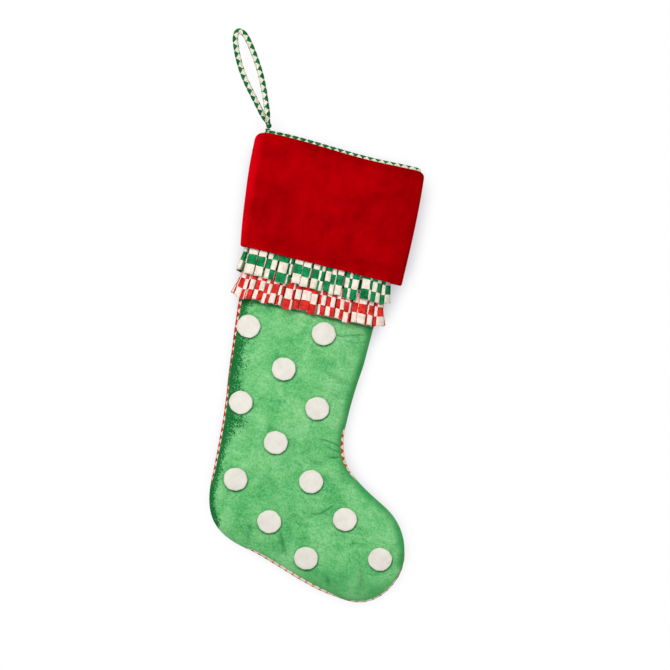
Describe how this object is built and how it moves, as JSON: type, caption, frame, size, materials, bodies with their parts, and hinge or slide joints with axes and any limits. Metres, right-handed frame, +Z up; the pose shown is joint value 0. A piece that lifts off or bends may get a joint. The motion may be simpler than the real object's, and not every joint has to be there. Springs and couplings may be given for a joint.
{
  "type": "hanging stocking",
  "caption": "Padded Christmas stocking with a velvet leg, felt dots, deep cuff, gathered check ruffles, corded seams and a hanging loop.",
  "frame": {"origin": "where a hook or nail bears on the inside of the loop's top", "axes": "+Z up as it hangs, +X across the stocking from the heel side to the toe side, +Y to its back; the cuff's top edge slopes down to the toe side by about 14 degrees"},
  "size_m": [0.2485, 0.0484, 0.6608],
  "materials": {
    "green_velvet": "short plush velvet, brushed in patches",
    "red_velvet": "short plush velvet",
    "cream_felt": "dense felt",
    "green_check": "woven cotton, green and cream check",
    "red_check": "woven cotton, red and cream check",
    "red_lining": "plain satin-weave lining",
    "batting": "lofty polyester wadding",
    "cotton_cord": "twisted cotton filler cord",
    "green_thread": "wound sewing thread"
  },
  "bodies": {
    "stocking": {"body_front": "green_velvet", "body_back": "green_velvet", "padding_front": "batting", "padding_back": "batting", "lining_front": "red_lining", "lining_back": "red_lining", "side_piping_cover": "red_check", "side_piping_cord": "cotton_cord", "dot_01": "cream_felt", "dot_02": "cream_felt", "dot_03": "cream_felt", "dot_04": "cream_felt", "dot_05": "cream_felt", "dot_06": "cream_felt", "dot_07": "cream_felt", "dot_08": "cream_felt", "dot_09": "cream_felt", "dot_10": "cream_felt", "dot_11": "cream_felt", "dot_12": "cream_felt", "rim_piping_cover": "green_check", "rim_piping_cord": "cotton_cord", "green_ruffle": "green_check", "red_ruffle": "red_check", "loop_neck": "green_check"},
    "cuff_front": {"cuff_front": "red_velvet", "cuff_facing_front": "red_lining"},
    "cuff_back": {"cuff_back": "red_velvet", "cuff_facing_back": "red_lining"},
    "knot": {"loop_knot": "green_thread"},
    "loop": {"loop_cover": "green_check", "loop_cord": "cotton_cord"}
  },
  "joints": [
    {"name": "loop_flop", "type": "hinge", "parent": "stocking", "child": "knot", "pos_m": [0.03633, 0, -0.10551], "axis": [0.9796, 0, -0.2011], "range_deg": [-65, 65]},
    {"name": "loop_swing", "type": "hinge", "parent": "knot", "child": "loop", "pos_m": [0.03633, 0, -0.10551], "axis": [0, 1, 0], "range_deg": [-60, 110]},
    {"name": "cuff_front_lift", "type": "hinge", "parent": "stocking", "child": "cuff_front", "pos_m": [0.11981, -0.018, -0.13597], "axis": [-0.971, 0, 0.2392], "range_deg": [0, 10], "stiffness_Nm_per_rad": 0.03},
    {"name": "cuff_back_lift", "type": "hinge", "parent": "stocking", "child": "cuff_back", "pos_m": [0.11981, 0.018, -0.13597], "axis": [0.971, 0, -0.2392], "range_deg": [0, 10], "stiffness_Nm_per_rad": 0.03}
  ]
}
